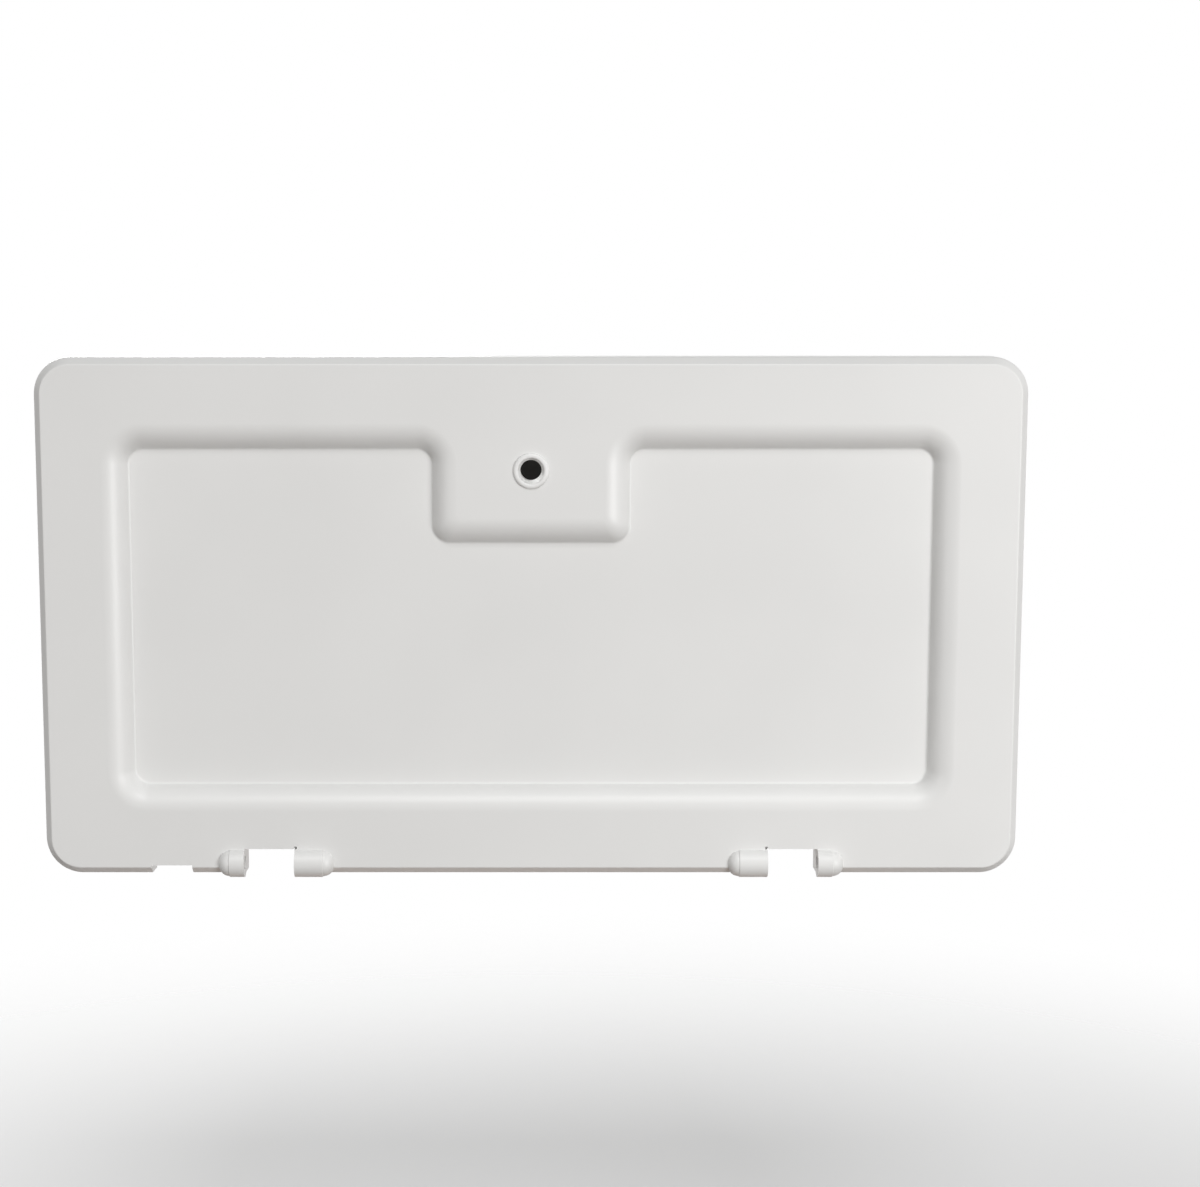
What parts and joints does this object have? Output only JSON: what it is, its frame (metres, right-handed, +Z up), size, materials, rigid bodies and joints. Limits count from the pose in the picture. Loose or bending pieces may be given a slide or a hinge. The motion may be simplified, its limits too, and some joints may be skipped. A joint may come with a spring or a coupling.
{
  "type": "caravan battery box door",
  "caption": "White moulded battery box door: raised border, recessed field, lock tongue with a bushed key hole, and barrel knuckles beside the hinge gaps in its lower edge.",
  "frame": {"origin": "on the flat rear face of the lower rim, at mid width and halfway through the rim's thickness", "axes": "+X to the right along the hinge line as seen from the front, +Z up towards the lock, -Y out of the raised face"},
  "size_m": [0.396, 0.018, 0.211],
  "materials": {
    "moulding": "satin white moulded plastic",
    "bush": "smooth white moulded plastic"
  },
  "bodies": {
    "root": {"side_wall": "moulding", "border": "moulding", "lower_border": "moulding", "lock_tongue": "moulding", "recess_wall": "moulding", "field_panel": "moulding", "lock_bush": "bush", "lock_boss": "moulding", "knuckle_left_outer": "moulding", "knuckle_left_inner": "moulding", "knuckle_right_inner": "moulding", "knuckle_right_outer": "moulding", "gap_wall_left": "moulding", "gap_wall_right": "moulding", "top_ribs": "moulding", "left_ribs": "moulding", "right_ribs": "moulding", "bottom_ribs": "moulding"}
  },
  "joints": []
}
